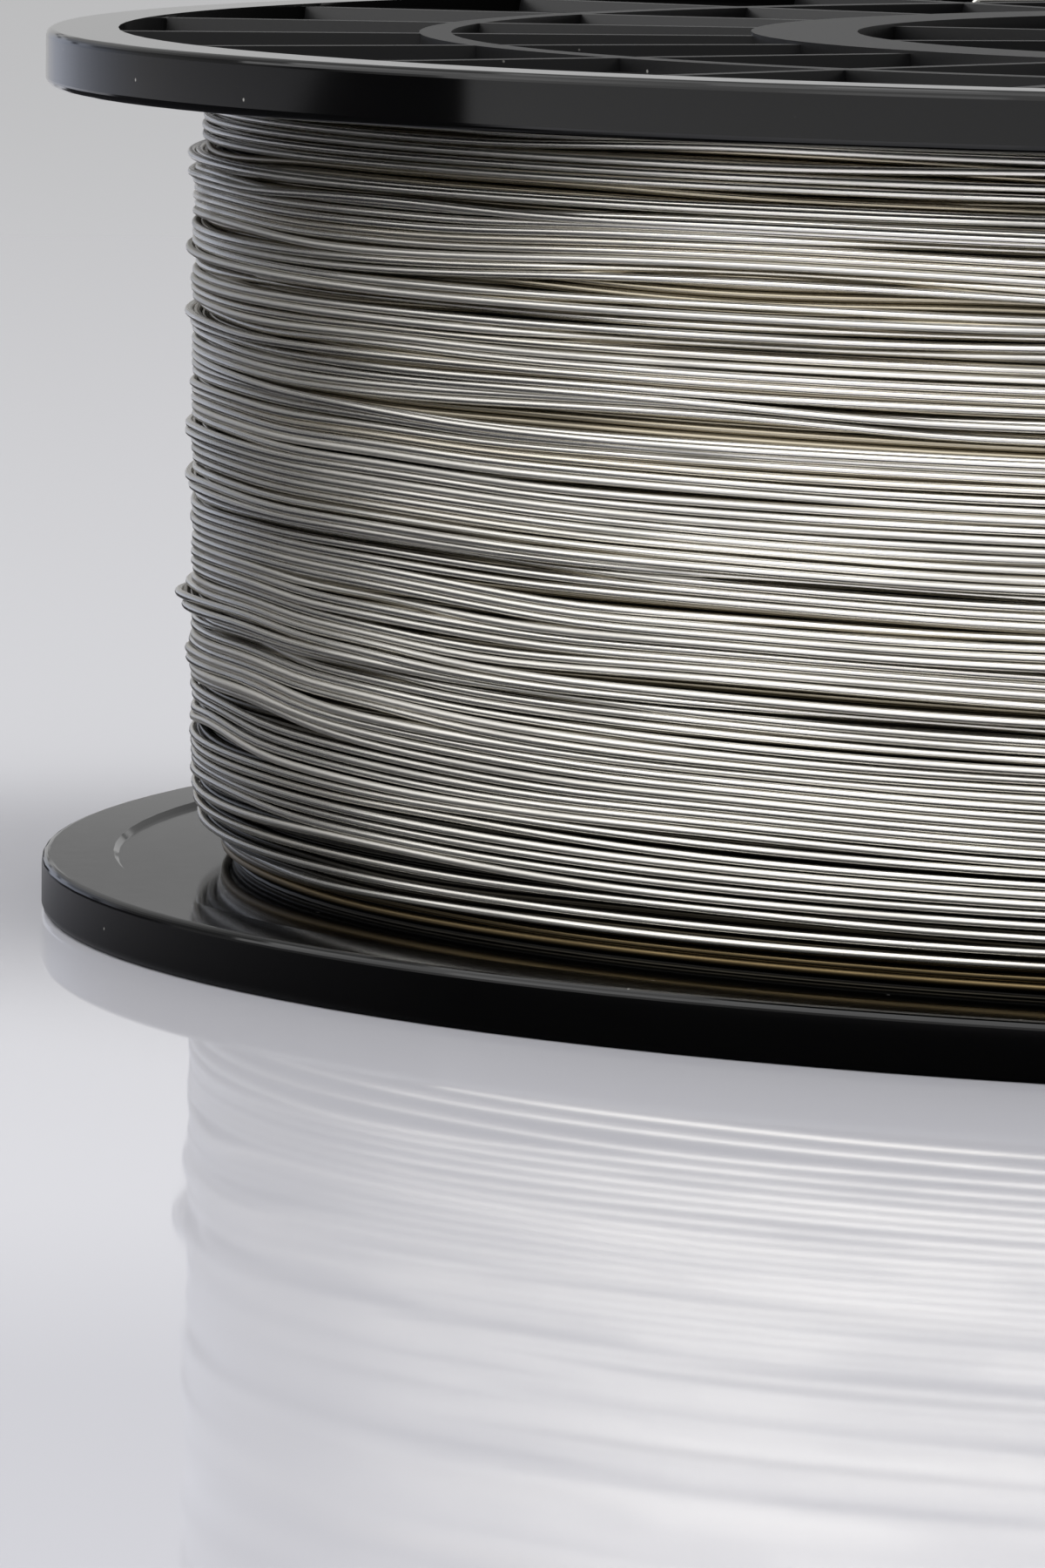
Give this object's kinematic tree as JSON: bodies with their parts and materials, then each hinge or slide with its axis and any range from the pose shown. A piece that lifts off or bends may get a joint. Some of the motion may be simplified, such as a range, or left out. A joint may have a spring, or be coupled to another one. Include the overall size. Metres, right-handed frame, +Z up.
{
  "type": "wire spool",
  "caption": "Flanged black plastic spool full of fine bright metal wire, with a clip-in barrel, an arbor tube bore and a drive hole in each flange.",
  "frame": {"origin": "middle of the lower flange's outside face, on the bore's axis, where the spool stands", "axes": "+Z runs up along the bore; +X points from the bore's axis to the drive hole"},
  "size_m": [0.2, 0.2, 0.055],
  "materials": {
    "black_flange": "glossy moulded plastic",
    "black_tube": "moulded, lightly worn satin",
    "bright_wire": "bright drawn wire"
  },
  "bodies": {
    "root": {"lower_flange": "black_flange", "upper_flange": "black_flange", "barrel": "black_tube", "arbor_tube": "black_tube", "wire_pack": "bright_wire", "wire_outer_layer": "bright_wire", "wire_start_tail": "bright_wire", "wire_end_tail": "bright_wire"}
  },
  "joints": []
}
